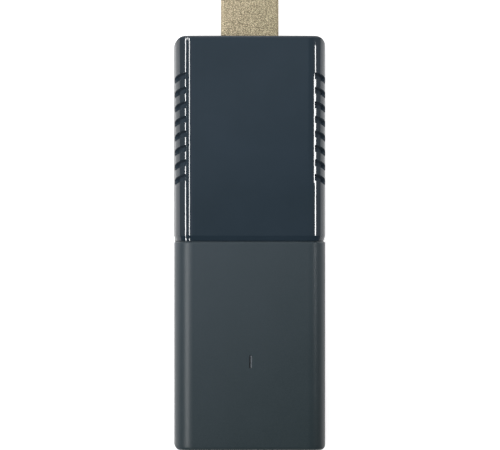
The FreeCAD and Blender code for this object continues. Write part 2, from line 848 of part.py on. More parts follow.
def add_floor_ribs(body):
    """Cross ribs under the board, and a low saddle under the plug."""
    rows = [("seam_offset + catch_offset / 2", "board_bottom"),
            ("front_hole_row - boss_radius - rib_thickness", "board_bottom"),
            ("rear_hole_row + boss_radius + rib_thickness", "board_bottom"),
            ("inner_rear + wall * 2", "board_bottom")]
    for row, top in rows:
        sketch = new_sketch(body, "XZ_Plane", f"-({row}) - rib_thickness / 2")
        outline(sketch, rectangle("-rib_half", "rib_half", f"wall - {DRAFT_OVERLAP}", top))
        pad(body, sketch, "rib_thickness")
    saddle = new_sketch(body, "XY_Plane", f"wall - {DRAFT_OVERLAP}")
    narrow = "plug_width / 2 - plug_chamfer - plug_wall"
    outline(saddle, rectangle(f"-({narrow})", narrow, "plug_rear + wall",
                              f"inner_front + {DRAFT_OVERLAP}"))
    pad(body, saddle, f"plug_bottom - wall + {DRAFT_OVERLAP}")


# Video plug

def plug_outline(width, bottom, top, chamfer, wall):
    """Half-hexagon section of a plug or socket: square above, both lower corners cut off.

    The wall moves every side inwards by the same amount.
    """
    half = f"({width} / 2 - {wall})"
    low = f"({bottom} + {wall})"
    reach = f"({chamfer} + {wall} * tan({HALF_TURN}))"
    narrow = f"({width} / 2 - {chamfer} - {wall} * tan({HALF_TURN}))"
    return [
        (f"-{narrow}", low), (narrow, low),
        (half, f"{bottom} + {reach}"), (half, f"{top} - {wall}"),
        (f"-{half}", f"{top} - {wall}"), (f"-{half}", f"{bottom} + {reach}"),
    ]


def make_plug_shell():
    """Drawn metal sleeve with four solder tabs and two latch windows underneath."""
    body = new_body("plug_shell")
    sketch = new_sketch(body, "XZ_Plane", "-plug_tip")
    outline(sketch, plug_outline("plug_width", "plug_bottom", "plug_top", "plug_chamfer", "0"))
    sleeve = pad(body, sketch, "plug_tip - plug_rear")
    corners = round_edges(body, sleeve, lambda box: box.YLength > LONG_EDGE, "plug_corner_radius")
    tip = number("plug_tip") - NEAR_FACE
    round_edges(body, corners, lambda box: box.YMin > tip, "plug_wall / 2")
    bore = new_sketch(body, "XZ_Plane", f"-plug_tip - {OPEN_END}")
    outline(bore, plug_outline("plug_width", "plug_bottom", "plug_top", "plug_chamfer",
                               "plug_wall"))
    pocket(body, bore, f"plug_tip - plug_rear + 2 * {OPEN_END}", reverse=True)
    add_solder_tabs(body)
    cut_latch_windows(body)
    return body


def add_solder_tabs(body):
    """Tabs that lie on the board beside its notch."""
    sketch = new_sketch(body, "XY_Plane", "board_top")
    rows = ("plug_rear + plug_tab_length", "board_front - plug_tab_length")
    for sign in (-1, 1):
        for row in rows:
            outline(sketch, rectangle(f"{sign} * (plug_width / 2 - plug_wall)",
                                      f"{sign} * (notch_half + plug_tab_width)",
                                      f"{row} - plug_tab_length / 2",
                                      f"{row} + plug_tab_length / 2"))
    pad(body, sketch, "plug_wall")


def cut_latch_windows(body):
    """Windows in the underside for the springs of the mating socket."""
    sketch = new_sketch(body, "XY_Plane", f"plug_bottom - {OPEN_END}")
    row = "plug_tip - latch_from_tip - latch_length / 2"
    for sign in (-1, 1):
        column = f"{sign} * latch_spacing / 2"
        outline(sketch, rectangle(f"{column} - latch_width / 2", f"{column} + latch_width / 2",
                                  f"{row} - latch_length / 2", f"{row} + latch_length / 2"))
    pocket(body, sketch, f"plug_wall + 2 * {OPEN_END}", reverse=True)


def make_plug_insulator():
    """Moulded core of the plug: a deep slot in front, a slit behind for each contact row."""
    body = new_body("plug_insulator")
    sketch = new_sketch(body, "XZ_Plane", "-insulator_tip")
    outline(sketch, plug_outline("plug_width", "plug_bottom", "plug_top", "plug_chamfer",
                                 "(plug_wall + insulator_clearance)"))
    pad(body, sketch, "insulator_tip - insulator_rear")
    slot = new_sketch(body, "XZ_Plane", f"-insulator_tip - {OPEN_END}")
    outline(slot, rectangle("-slot_width / 2", "slot_width / 2", "slot_bottom", "slot_top"))
    pocket(body, slot, f"slot_depth + {OPEN_END}", reverse=True)
    slits = new_sketch(body, "XZ_Plane", f"-slot_floor - {OPEN_END}")
    half = "upper_contact_count * contact_pitch / 2"
    for bottom in ("slot_bottom", "slot_top - contact_thickness"):
        outline(slits, rectangle(f"-{half}", half, bottom, f"{bottom} + contact_thickness"))
    pocket(body, slits, f"slot_floor - insulator_rear + 2 * {OPEN_END}", reverse=True)
    return body


def contact_row(label, count, level, board_face, inward):
    """One row of contacts; each runs from the slot to a tail soldered on the board."""
    body = new_body(label)
    body.AllowCompound = True
    sketch = new_sketch(body, "YZ_Plane", f"-({count} - 1) * contact_pitch / 2 - contact_width / 2")
    near = level
    far = f"{level} + {inward} * contact_thickness"
    pad_face = f"{board_face} + {inward} * contact_thickness"
    bend = "plug_rear"
    back = f"{bend} - contact_thickness"
    tail_end = "notch_row - contact_tail"
    outline(sketch, [
        ("insulator_tip - contact_end_gap", near),
        (bend, near),
        (bend, board_face),
        (tail_end, board_face),
        (tail_end, pad_face),
        (back, pad_face),
        (back, far),
        ("insulator_tip - contact_end_gap", far),
    ])
    first = pad(body, sketch, "contact_width")
    row_along_x(body, [first], count, "contact_pitch")
    return body


def make_plug_contacts():
    """Nineteen contacts in two staggered rows."""
    upper = contact_row("upper_contact_row", "upper_contact_count",
                        "slot_top - contact_thickness", "board_top", 1)
    lower = contact_row("lower_contact_row", "(upper_contact_count - 1)",
                        "slot_bottom + contact_thickness", "board_bottom", -1)
    return group("plug_contacts", [upper, lower])


# Main board and what is soldered to it

def make_main_board():
    """Board with a notch for the sunk plug and four screw holes."""
    body = new_body("main_board")
    sketch = new_sketch(body, "XY_Plane", "board_bottom")
    outline(sketch, rounded_plan("board_half", "board_rear", "board_front",
                                 "board_corner_radius", "board_corner_radius"))
    pad(body, sketch, "board_thickness")
    notch = new_sketch(body, "XY_Plane", f"board_top + {OPEN_END}")
    outline(notch, rectangle("-notch_half", "notch_half", "notch_row",
                             f"board_front + {OPEN_END}"))
    pocket(body, notch, f"board_thickness + 2 * {OPEN_END}")
    holes = new_sketch(body, "XY_Plane", f"board_top + {OPEN_END}")
    for x, y in boss_places():
        ring(holes, "board_hole / 2", x, y)
    pocket(body, holes, f"board_thickness + 2 * {OPEN_END}")
    return body


def make_board_screws():
    """Four pan-head screws, drawn at the thread's core, each with a cross recess."""
    screws = []
    recess_floor = "board_top + screw_head_height / 2"
    for index, (x, y) in enumerate(boss_places()):
        head = upright(f"screw_head_{index}", "screw_head / 2", x, y, "board_top",
                       "screw_head_height")
        shank = upright(f"screw_shank_{index}", "screw_core / 2", x, y,
                        "board_top - screw_length", "screw_length + screw_head_height / 2")
        bars = [centred(f"screw_slot_{index}_a", x, y, "screw_recess_length",
                        "screw_recess_width", recess_floor, "screw_head_height"),
                centred(f"screw_slot_{index}_b", x, y, "screw_recess_width",
                        "screw_recess_length", recess_floor, "screw_head_height")]
        blank = fuse(f"screw_blank_{index}", [head, shank])
        screws.append(cut(f"screw_{index}", blank, fuse(f"screw_cross_{index}", bars)))
    return group("board_screws", screws)


def make_processor():
    """Chip package: thin substrate under a slightly smaller moulded cap."""
    cap_side = "(processor_side - 2 * processor_rim)"
    substrate = centred("processor_substrate", "0", "processor_row", "processor_side",
                        "processor_side", "board_top", "processor_height / 3")
    cap = centred("processor_cap", "0", "processor_row", cap_side, cap_side,
                  "board_top + processor_height / 3", "processor_height * 2 / 3")
    return fuse("processor", [substrate, cap])


def make_heat_sink():
    """Finned aluminium block on the processor's pad, just clear of the roof."""
    body = new_body("heat_sink")
    sketch = new_sketch(body, "XZ_Plane", "-(processor_row + sink_length / 2)")
    outline(sketch, rectangle("-sink_width / 2", "sink_width / 2", "pad_top", "sink_floor"))
    pad(body, sketch, "sink_length")
    fin = new_sketch(body, "XZ_Plane", "-(processor_row + sink_length / 2)")
    outline(fin, rectangle("-sink_width / 2", "fin_thickness - sink_width / 2",
                           f"sink_floor - {DRAFT_OVERLAP}", "sink_top"))
    first = pad(body, fin, "sink_length")
    row_along_x(body, [first], "fin_count", "fin_pitch")
    return body


def make_shield_fence():
    """Pressed frame soldered round the processor and the memory, with an inward flange."""
    front = "fence_front"
    rear = "fence_rear"
    outer = block("fence_outer", ("-fence_width / 2", "fence_width / 2"), (rear, front),
                  ("board_top", "board_top + fence_height"))
    inner = block("fence_inner",
                  ("fence_sheet - fence_width / 2", "fence_width / 2 - fence_sheet"),
                  (f"{rear} + fence_sheet", f"{front} - fence_sheet"),
                  (f"board_top - {OPEN_END}", "board_top + fence_height - fence_sheet"))
    mouth = block("fence_mouth",
                  ("fence_flange - fence_width / 2", "fence_width / 2 - fence_flange"),
                  (f"{rear} + fence_flange", f"{front} - fence_flange"),
                  ("board_top", f"board_top + fence_height + {OPEN_END}"))
    return cut("shield_fence", outer, fuse("fence_hollow", [inner, mouth]))


def make_memory_chips():
    """Two memory chips side by side behind the processor."""
    chips = [centred(f"memory_{name}", f"{sign} * (memory_width / 2 + memory_gap / 2)",
                     "memory_row", "memory_width", "memory_length", "board_top", "memory_height")
             for name, sign in (("left", -1), ("right", 1))]
    return group("memory_chips", chips)


def make_power_inductors():
    """Three shielded coils in a row."""
    middle = (COIL_COUNT - 1) / 2
    coils = [centred(f"inductor_{index}", f"{index - middle} * inductor_pitch", "power_row",
                     "inductor_side", "inductor_side", "board_top", "inductor_height")
             for index in range(COIL_COUNT)]
    return group("power_inductors", coils)


def make_board_capacitors():
    """Ceramic capacitors in a row behind the power parts."""
    row = "(power_row - power_chip_side / 2 - capacitor_width)"
    middle = (CAPACITOR_COUNT - 1) / 2
    capacitors = [centred(f"capacitor_{index}", f"{index - middle} * capacitor_pitch", row,
                          "capacitor_length", "capacitor_width", "board_top",
                          "capacitor_height")
                  for index in range(CAPACITOR_COUNT)]
    return group("board_capacitors", capacitors)


def make_radio():
    """Radio module: its own small board, and the shield over it."""
    module = centred("radio_module", "-radio_offset", "radio_row", "radio_side", "radio_side",
                     "board_top", "radio_board")
    shield = centred("radio_shield", "-radio_offset", "radio_row", "shield_side", "shield_side",
                     "radio_top", "shield_height")
    return [module, shield]


def make_antenna(label, sign):
    """Stamped strip: a raised plate with a slot, on two legs."""
    outer = f"{sign} * antenna_outer"
    inner = f"{sign} * (antenna_outer - antenna_width)"
    x = (inner, outer) if sign > 0 else (outer, inner)
    plate = block(f"{label}_plate", x, ("antenna_rear", "antenna_front"),
                  ("antenna_top - antenna_sheet", "antenna_top"))
    legs = [block(f"{label}_leg_{index}", x, (start, f"{start} + antenna_sheet"),
                  ("board_top", "antenna_top"))
            for index, start in enumerate(("antenna_rear", "antenna_rear + antenna_leg_pitch"))]
    middle = f"{sign} * (antenna_outer - antenna_width / 2)"
    slot = block(f"{label}_slot", (f"{middle} - antenna_slot / 2", f"{middle} + antenna_slot / 2"),
                 ("antenna_rear + antenna_leg_pitch + antenna_slot_margin",
                  "antenna_front - antenna_slot_margin"),
                 ("board_top", f"antenna_top + {OPEN_END}"))
    return cut(label, fuse(f"{label}_strip", [plate] + legs), slot)


# Power socket

def make_socket_shell():
    """Pressed sleeve of the power socket, resting on the board."""
    body = new_body("socket_shell")
    section = ("socket_width", "board_top", "socket_top", "socket_chamfer")
    sketch = new_sketch(body, "XZ_Plane", "-socket_front")
    outline(sketch, plug_outline(*section, "0"))
    sleeve = pad(body, sketch, "socket_front - socket_mouth")
    round_edges(body, sleeve, lambda box: box.YLength > LONG_EDGE, "socket_corner_radius")
    bore = new_sketch(body, "XZ_Plane", "-socket_front + socket_wall")
    outline(bore, plug_outline(*section, "socket_wall"))
    pocket(body, bore, f"socket_front - socket_mouth + {OPEN_END}", reverse=True)
    return body


def make_socket_tongue():
    """Plastic block at the back of the socket with a thin tongue towards the mouth."""
    back = "socket_front - socket_wall"
    front = f"{back} - tongue_base"
    wall = "(socket_wall + tongue_clearance)"
    body = new_body("socket_tongue")
    sketch = new_sketch(body, "XZ_Plane", f"-({back}) + tongue_clearance")
    outline(sketch, plug_outline("socket_width", "board_top", "socket_top", "socket_chamfer",
                                 wall))
    pad(body, sketch, "tongue_base")
    tongue = new_sketch(body, "XZ_Plane", f"-({front}) - {DRAFT_OVERLAP}")
    outline(tongue, rectangle("-tongue_width / 2", "tongue_width / 2", "tongue_bottom",
                              "tongue_bottom + tongue_thickness"))
    pad(body, tongue, f"{front} - tongue_tip + {DRAFT_OVERLAP}")
    return body


def make_socket_contacts():
    """Five contacts on the underside of the tongue."""
    front = "socket_front - socket_wall - tongue_base"
    contacts = []
    for index in range(POWER_CONTACT_COUNT):
        column = f"{index - (POWER_CONTACT_COUNT - 1) / 2} * power_contact_pitch"
        contacts.append(block(
            f"power_contact_{index}",
            (f"{column} - power_contact_width / 2", f"{column} + power_contact_width / 2"),
            ("tongue_tip + power_contact_inset", f"{front} - power_contact_gap"),
            ("tongue_bottom - power_contact_thickness", "tongue_bottom")))
    return group("socket_contacts", contacts)


# Status light

def make_light_pipe():
    """Clear pipe: a nose in the slit, a foot under the roof and a stem over the light."""
    length = "(light_length - light_clearance * 2)"
    nose = centred("light_nose", "0", "light_row", "(light_width - light_clearance * 2)", length,
                   f"(roof - {DRAFT_OVERLAP})", f"(wall - light_recess + {DRAFT_OVERLAP})")
    foot = centred("light_foot", "0", "light_row", "light_foot_width", "light_foot_length",
                   "(roof - light_foot_height)", "light_foot_height")
    stem = centred("light_stem", "0", "light_row", "light_stem_width", length,
                   "(led_top + led_gap)", "(roof - light_foot_height / 2 - led_top - led_gap)")
    return fuse("light_pipe", [nose, foot, stem])


# Reset switch

def make_switch_case():
    """Moulded case, open above and towards the pinhole."""
    body = centred("switch_blank", "switch_offset", "(switch_rear + switch_length / 2)",
                   "switch_width", "switch_length", "board_top", "switch_height")
    chamber = block("switch_chamber",
                    ("switch_offset - chamber_half", "switch_offset + chamber_half"),
                    ("chamber_rear", "chamber_front"),
                    ("board_top + switch_floor", f"switch_top + {OPEN_END}"))
    stem = "(plunger_width / 2 + plunger_clearance)"
    tall = "(plunger_height / 2 + plunger_clearance)"
    channel = block("switch_channel", (f"switch_offset - {stem}", f"switch_offset + {stem}"),
                    (f"switch_rear - {OPEN_END}", f"chamber_rear + {DRAFT_OVERLAP}"),
                    (f"plunger_middle - {tall}", f"plunger_middle + {tall}"))
    return cut("switch_case", body, fuse("switch_hollow", [chamber, channel]))


def make_reset_plunger():
    """Plunger that a pin pushes in: a stem through the case wall, held by its wider head."""
    stem = block("plunger_stem",
                 ("switch_offset - plunger_width / 2", "switch_offset + plunger_width / 2"),
                 ("switch_rear - plunger_reach", f"head_rear + {DRAFT_OVERLAP}"),
                 ("plunger_middle - plunger_height / 2", "plunger_middle + plunger_height / 2"))
    head = block("plunger_head",
                 ("switch_offset - plunger_head / 2", "switch_offset + plunger_head / 2"),
                 ("head_rear", "head_front"),
                 ("plunger_middle - plunger_height / 2", "plunger_middle + plunger_height / 2"))
    return fuse("reset_plunger", [stem, head])


def make_reset_dome():
    """Thin bowed spring behind the plunger, standing against the back of the chamber."""
    body = new_body("reset_dome")
    sketch = new_sketch(body, "XY_Plane", "plunger_middle - plunger_height / 2")
    half = "(chamber_half - plunger_clearance)"
    radius = f"(({half} * {half} + dome_rise * dome_rise) / (2 * dome_rise))"
    centre = f"dome_peak + {radius}"
    foot = "dome_peak + dome_rise"
    x_low, x_high = f"switch_offset - {half}", f"switch_offset + {half}"
    outline(sketch, [
        (x_low, foot),
        (x_high, foot, "switch_offset", centre),
        (x_high, f"{foot} + dome_sheet"),
        (x_low, f"{foot} + dome_sheet", "switch_offset", f"{centre} + dome_sheet"),
    ])
    pad(body, sketch, "plunger_height")
    return body


def make_all():
    parts = [make_front_cover(), make_rear_cover(), make_base_shell(), make_main_board(),
             make_plug_shell(), make_plug_insulator(), make_plug_contacts(),
             make_board_screws(), make_processor(), make_heat_sink(), make_shield_fence(),
             make_memory_chips(), make_power_inductors(), make_board_capacitors(),
             make_antenna("left_antenna", -1), make_antenna("right_antenna", 1),
             make_socket_shell(), make_socket_tongue(), make_socket_contacts(),
             make_light_pipe(), make_switch_case(), make_reset_plunger(), make_reset_dome()]
    parts += make_radio()
    parts.append(centred("thermal_pad", "0", "processor_row", "pad_side", "pad_side",
                         "processor_top", "pad_thickness"))
    parts.append(centred("flash_chip", "0", "(seam_offset - catch_offset)", "flash_width",
                         "flash_length", "(board_bottom - flash_height)", "flash_height"))
    parts.append(centred("power_chip", "power_chip_column", "power_row", "power_chip_side",
                         "power_chip_side", "board_top", "power_chip_height"))
    parts.append(centred("clock_crystal", "crystal_column", "power_row", "crystal_width",
                         "crystal_length", "board_top", "crystal_height"))
    parts.append(centred("status_led", "0", "light_row", "led_width", "led_length",
                         "board_top", "led_height"))
    parts.append(centred("switch_cover", "switch_offset", "(switch_rear + switch_length / 2)",
                         "switch_width", "switch_length", "switch_top", "switch_cover"))
    return parts


def check_document():
    failed = [item.Name for item in doc.Objects
              if "Invalid" in item.State or "Error" in item.State]
    if failed:
        raise RuntimeError(f"objects that failed: {failed}")


def check_shape(item):
    if item.Shape.isNull() or not item.Shape.isValid():
        raise RuntimeError(f"{item.Label} has no valid shape")


parts = make_all()
doc.recompute()
check_document()
os.makedirs("parts", exist_ok=True)
for part in parts:
    check_shape(part)
for part in parts:
    part.Shape.exportStep(os.path.join("parts", f"{part.Label}.step"))
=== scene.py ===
"""Looks of the streaming media stick: its materials, floor, light and camera."""

import math

import bpy
from mathutils import Matrix, Vector


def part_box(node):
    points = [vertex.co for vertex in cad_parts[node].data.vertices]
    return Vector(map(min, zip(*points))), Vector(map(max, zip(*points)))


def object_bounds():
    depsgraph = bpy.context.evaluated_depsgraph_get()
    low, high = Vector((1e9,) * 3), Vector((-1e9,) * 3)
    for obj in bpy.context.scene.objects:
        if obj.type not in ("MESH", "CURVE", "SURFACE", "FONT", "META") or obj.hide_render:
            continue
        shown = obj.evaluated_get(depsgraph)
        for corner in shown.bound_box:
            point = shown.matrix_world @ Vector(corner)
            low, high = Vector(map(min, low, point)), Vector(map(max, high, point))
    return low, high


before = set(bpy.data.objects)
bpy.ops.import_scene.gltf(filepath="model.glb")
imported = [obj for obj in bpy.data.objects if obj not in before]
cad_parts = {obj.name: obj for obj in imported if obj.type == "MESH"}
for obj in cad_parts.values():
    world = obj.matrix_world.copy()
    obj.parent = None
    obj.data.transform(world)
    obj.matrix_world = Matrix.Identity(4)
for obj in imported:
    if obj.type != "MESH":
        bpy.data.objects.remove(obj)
cad_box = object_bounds()

MM = 0.001
WHITE = (1.0, 1.0, 1.0)

# The housing, the round of its shoulders and the stretch that holds the slots
HALF_WIDTH = cad_box[1].x
HALF_LENGTH = 50 * MM
TOP = cad_box[1].z
SHOULDER = 4.2 * MM
FLAT_HALF = HALF_WIDTH - SHOULDER
SHOULDER_FOOT = TOP - SHOULDER
SLOTS_REAR, SLOTS_FRONT = 12 * MM, 43 * MM

# Most values of a noise lie between these two
NOISE_LOW, NOISE_HIGH = 0.3, 0.7
EDGE_SAMPLES = 6


def srgb(red, green, blue):
    """A colour given as 0 to 255 on a screen, as linear values."""
    def linear(level):
        share = level / 255
        return share / 12.92 if share <= 0.04045 else ((share + 0.055) / 1.055) ** 2.4

    return (linear(red), linear(green), linear(blue))


# Material building blocks


class Tree:
    """The nodes of a material or a world, and sums of their outputs."""

    def __init__(self, node_tree):
        self.nodes = node_tree.nodes
        self.links = node_tree.links

    def part_of(self, vector, name):
        """One coordinate of a vector."""
        split = self.nodes.new("ShaderNodeSeparateXYZ")
        self.links.new(vector, split.inputs["Vector"])
        return split.outputs[name]

    def math(self, operation, first, second=0.0):
        """One sum of two values or outputs."""
        node = self.nodes.new("ShaderNodeMath")
        node.operation = operation
        for socket, value in zip(node.inputs, (first, second)):
            if isinstance(value, (int, float)):
                socket.default_value = value
            else:
                self.links.new(value, socket)
        return node.outputs["Value"]

    def distance(self, first, second):
        """How far two outputs together are from zero."""
        squares = self.math("ADD", self.math("POWER", first, 2), self.math("POWER", second, 2))
        return self.math("SQRT", squares)

    def spread(self, value, start, end, low=0.0, high=1.0):
        """The value mapped from start..end to low..high, clamped."""
        node = self.nodes.new("ShaderNodeMapRange")
        settings = {"From Min": start, "From Max": end, "To Min": low, "To Max": high}
        for socket, number in settings.items():
            node.inputs[socket].default_value = number
        self.links.new(value, node.inputs["Value"])
        return node.outputs["Result"]


class Recipe(Tree):
    """One material: a principled shader, and the textures that feed it."""

    def __init__(self, name, fixed=None):
        self.material = bpy.data.materials.new(name)
        self.material.use_nodes = True
        super().__init__(self.material.node_tree)
        self.shader = self.nodes["Principled BSDF"]
        self.place = self.nodes.new("ShaderNodeTexCoord").outputs["Object"]
        for socket, value in (fixed or {}).items():
            self.shader.inputs[socket].default_value = value

    def stretched(self, stretch):
        """Object coordinates, scaled along each axis."""
        mapping = self.nodes.new("ShaderNodeMapping")
        mapping.inputs["Scale"].default_value = stretch
        self.links.new(self.place, mapping.inputs["Vector"])
        return mapping.outputs["Vector"]

    def noise(self, size, detail=2, stretch=(1, 1, 1)):
        """Cloudy noise whose blots are about that size, in metres."""
        texture = self.nodes.new("ShaderNodeTexNoise")
        texture.inputs["Scale"].default_value = 1 / size
        texture.inputs["Detail"].default_value = detail
        self.links.new(self.stretched(stretch), texture.inputs["Vector"])
        return texture.outputs["Fac"]

    def cells(self, size, stretch=(1, 1, 1), feature="F1"):
        """Distance within cells of about that size, in metres."""
        texture = self.nodes.new("ShaderNodeTexVoronoi")
        texture.feature = feature
        texture.inputs["Scale"].default_value = 1 / size
        self.links.new(self.stretched(stretch), texture.inputs["Vector"])
        return texture.outputs["Distance"]

    def axis(self, name):
        """One object coordinate, in metres."""
        return self.part_of(self.place, name)

    def slant(self, share):
        """Rises by 1 per metre to the front, and by the share per metre to the left."""
        return self.math("SUBTRACT", self.axis("Y"), self.math("MULTIPLY", self.axis("X"), share))

    def facing(self, name):
        """How far the surface faces along an axis, from -1 to 1."""
        geometry = self.nodes.new("ShaderNodeNewGeometry")
        return self.part_of(geometry.outputs["Normal"], name)

    def blend(self, share, first, second):
        """A mix of two colours or outputs."""
        node = self.nodes.new("ShaderNodeMix")
        node.data_type = "RGBA"
        self.links.new(share, node.inputs["Factor"])
        colours = [socket for socket in node.inputs if socket.type == "RGBA"]
        for socket, value in zip(colours, (first, second)):
            if isinstance(value, tuple):
                socket.default_value = (*value, 1)
            else:
                self.links.new(value, socket)
        return next(socket for socket in node.outputs if socket.type == "RGBA")

    def mottle(self, value, dark, pale, start=NOISE_LOW, end=NOISE_HIGH):
        """A colour that goes from dark to pale as the value rises from start to end."""
        return self.blend(self.spread(value, start, end), dark, pale)

    def colour(self, output):
        """Feeds the base colour."""
        self.links.new(output, self.shader.inputs["Base Color"])

    def rough(self, value, low, high, start=NOISE_LOW, end=NOISE_HIGH):
        """Feeds the roughness, which goes from low to high as the value rises from start to end."""
        self.links.new(self.spread(value, start, end, low, high), self.shader.inputs["Roughness"])

    def sunk(self):
        """1 inside the slots, below the round of the shoulders, else 0."""
        shallow, deep = 0.1 * MM, 0.4 * MM
        out = self.math("SUBTRACT", self.math("ABSOLUTE", self.axis("X")), FLAT_HALF)
        up = self.math("SUBTRACT", self.axis("Z"), SHOULDER_FOOT)
        row = self.axis("Y")
        sunk = self.spread(self.math("SUBTRACT", SHOULDER, self.distance(out, up)), shallow, deep)
        for value, limit in ((out, 0), (up, 0), (row, SLOTS_REAR)):
            sunk = self.math("MULTIPLY", sunk, self.math("GREATER_THAN", value, limit))
        return self.math("MULTIPLY", sunk, self.math("LESS_THAN", row, SLOTS_FRONT))

    def softened(self, radius):
        """Normals as if sharp edges had a small radius, in metres."""
        node = self.nodes.new("ShaderNodeBevel")
        node.samples = EDGE_SAMPLES
        node.inputs["Radius"].default_value = radius
        return node.outputs["Normal"]

    def bump(self, height, depth, edge=0.0):
        """Feeds the normal from a height of 0 to 1, depth metres deep, and softens edges."""
        node = self.nodes.new("ShaderNodeBump")
        if edge:
            self.links.new(self.softened(edge), node.inputs["Normal"])
        node.inputs["Distance"].default_value = depth
        self.links.new(height, node.inputs["Height"])
        self.links.new(node.outputs["Normal"], self.shader.inputs["Normal"])


def grained(name, size, detail, tones, rough, depth=0.0, stretch=(1, 1, 1), fixed=None,
            pale_at=NOISE_HIGH):
    """A material whose tone, roughness and relief all follow one noise."""
    made = Recipe(name, fixed)
    grain = made.noise(size, detail, stretch)
    made.colour(made.mottle(grain, *tones, end=pale_at))
    made.rough(grain, *rough)
    if depth:
        made.bump(grain, depth)
    return made.material


# Materials


def gloss_plastic():
    """Polished navy plastic with soft edges, dull inside the slots."""
    cloud_size, wave_size, wave_depth = 14 * MM, 1.2 * MM, 0.0001 * MM
    polished_rough, slot_rough = 0.015, 0.85
    edge_radius = 0.05 * MM
    made = Recipe("gloss_navy", {"IOR": 1.56})
    polished = made.mottle(made.noise(cloud_size, detail=3), srgb(39, 51, 60), srgb(42, 54, 64))
    sunk = made.sunk()
    made.colour(made.blend(sunk, polished, srgb(37, 53, 66)))
    made.rough(sunk, polished_rough, slot_rough, start=0, end=1)
    made.bump(made.noise(wave_size), wave_depth, edge=edge_radius)
    return made.material


def matte_plastic():
    """Spark-eroded dark plastic with a fine even grain, paler to the front and the left as painted light.
    """
    grain_size, grain_depth = 0.16 * MM, 0.006 * MM
    cloud_size, cloud_push = 9 * MM, 16 * MM
    leftward, darkest, palest = 0.8, -52 * MM, 26 * MM
    speckle_from, speckle_to, speckle_share = 0.25, 0.9, 0.5
    edge_radius = 0.3 * MM
    made = Recipe("matte_slate", {"IOR": 1.45, "Specular IOR Level": 0.4})
    grain = made.noise(grain_size, detail=3)
    cloud = made.math("MULTIPLY", made.noise(cloud_size, detail=2), cloud_push)
    # Painted light: paler to the front and the left, with random clouds moving the boundary.
    place = made.math("ADD", made.slant(leftward), cloud)
    tone = made.mottle(place, srgb(34, 47, 50), srgb(60, 70, 77), darkest, palest)
    speckle = made.spread(grain, speckle_from, speckle_to, 0, speckle_share)
    made.colour(made.blend(speckle, tone, srgb(64, 74, 80)))
    made.rough(grain, 0.31, 0.37)
    made.bump(grain, grain_depth, edge=edge_radius)
    return made.material


def base_plastic():
    """The base's dark plastic, a little coarser than the covers."""
    return grained("base_black", size=0.22 * MM, detail=3, tones=(srgb(44, 51, 56), srgb(52, 60, 66)),
                   rough=(0.42, 0.55), depth=0.008 * MM, fixed={"IOR": 1.47}, pale_at=0.8)


def blasted_nickel():
    """Warm nickel plate over a bead-blasted sheet, a little darker to the right as painted shade, with
    painted glints on its beads.
    """
    bead_size, bead_depth = 0.20 * MM, 0.01 * MM
    smudge_size, smudge_push = 6 * MM, 6 * MM
    palest, darkest = -5 * MM, 10 * MM
    dull_at, bright_at, contrast = 0.30, 0.66, 2
    made = Recipe("blasted_nickel", {"Metallic": 1.0})
    relief = made.noise(bead_size, detail=1, stretch=(1, 0.85, 1))
    # Painted glints and shade: bead grain coloured bright on the raised beads and dark in the hollows.
    grain_and_painted_glint = made.math("POWER", made.spread(relief, dull_at, bright_at), contrast)
    smudge = made.math("MULTIPLY", made.noise(smudge_size), smudge_push)
    place = made.math("ADD", made.axis("X"), smudge)
    # Painted shade: the plate colour grows darker to the right, with random smudges moving the boundary.
    plate_with_painted_shade = made.blend(made.spread(place, palest, darkest), srgb(232, 215, 184), srgb(216, 204, 171))
    made.colour(made.blend(grain_and_painted_glint, srgb(124, 114, 92), plate_with_painted_shade))
    made.rough(relief, 0.52, 0.40)
    made.bump(relief, bead_depth)
    return made.material


def core_plastic():
    """Glass-filled plastic of the plug's core and the socket's tongue."""
    return grained("core_plastic", size=0.12 * MM, detail=4, tones=(srgb(22, 23, 25), srgb(38, 39, 42)),
                   rough=(0.35, 0.5), depth=0.003 * MM, stretch=(1, 0.3, 1))


def contact_gold():
    """Gold flash over stamped contacts."""
    return grained("contact_gold", size=0.2 * MM, detail=3, tones=(srgb(222, 176, 92), srgb(242, 204, 128)),
                   rough=(0.16, 0.32), stretch=(1, 0.1, 1), fixed={"Metallic": 1.0})


def board_laminate():
    """Green solder mask with buried tracks and tinned vias, and bare laminate edges."""
    track_pitch, via_pitch, weave_size, track_depth = 1.7 * MM, 1.1 * MM, 0.15 * MM, 0.01 * MM
    track_edge, via_edge, corner_edge = (0.06, 0.09), (0.14, 0.17), (0.4, 0.6)
    from_above = (1, 1, 0)
    made = Recipe("board_laminate", {"Coat Weight": 0.4, "Coat Roughness": 0.15})
    track = made.spread(made.cells(track_pitch, from_above, "DISTANCE_TO_EDGE"), *track_edge)
    via = made.spread(made.cells(via_pitch, from_above), *via_edge)
    mask = made.blend(track, srgb(38, 110, 70), srgb(20, 78, 48))
    face = made.blend(via, srgb(196, 190, 170), mask)
    weave = made.noise(weave_size, detail=2, stretch=(1, 1, 4))
    edge = made.mottle(weave, srgb(150, 150, 96), srgb(190, 188, 130))
    flat = made.spread(made.math("ABSOLUTE", made.facing("Z")), *corner_edge)
    made.colour(made.blend(flat, edge, face))
    made.rough(weave, 0.3, 0.45)
    made.bump(track, -track_depth)
    return made.material


def chip_epoxy():
    """Moulded package: near-black, with fine silica grain."""
    grain_size, grain_depth = 0.08 * MM, 0.004 * MM
    made = Recipe("chip_epoxy")
    grain = made.noise(grain_size, detail=3)
    made.colour(made.mottle(grain, srgb(30, 31, 33), srgb(52, 53, 56), 0.35, 0.75))
    made.rough(grain, 0.45, 0.62)
    made.bump(grain, grain_depth)
    return made.material


def pad_rubber():
    """Soft grey silicone with a slight mottle."""
    return grained("pad_rubber", size=0.7 * MM, detail=5, tones=(srgb(128, 140, 150), srgb(152, 163, 172)),
                   rough=(0.6, 0.8), depth=0.02 * MM)


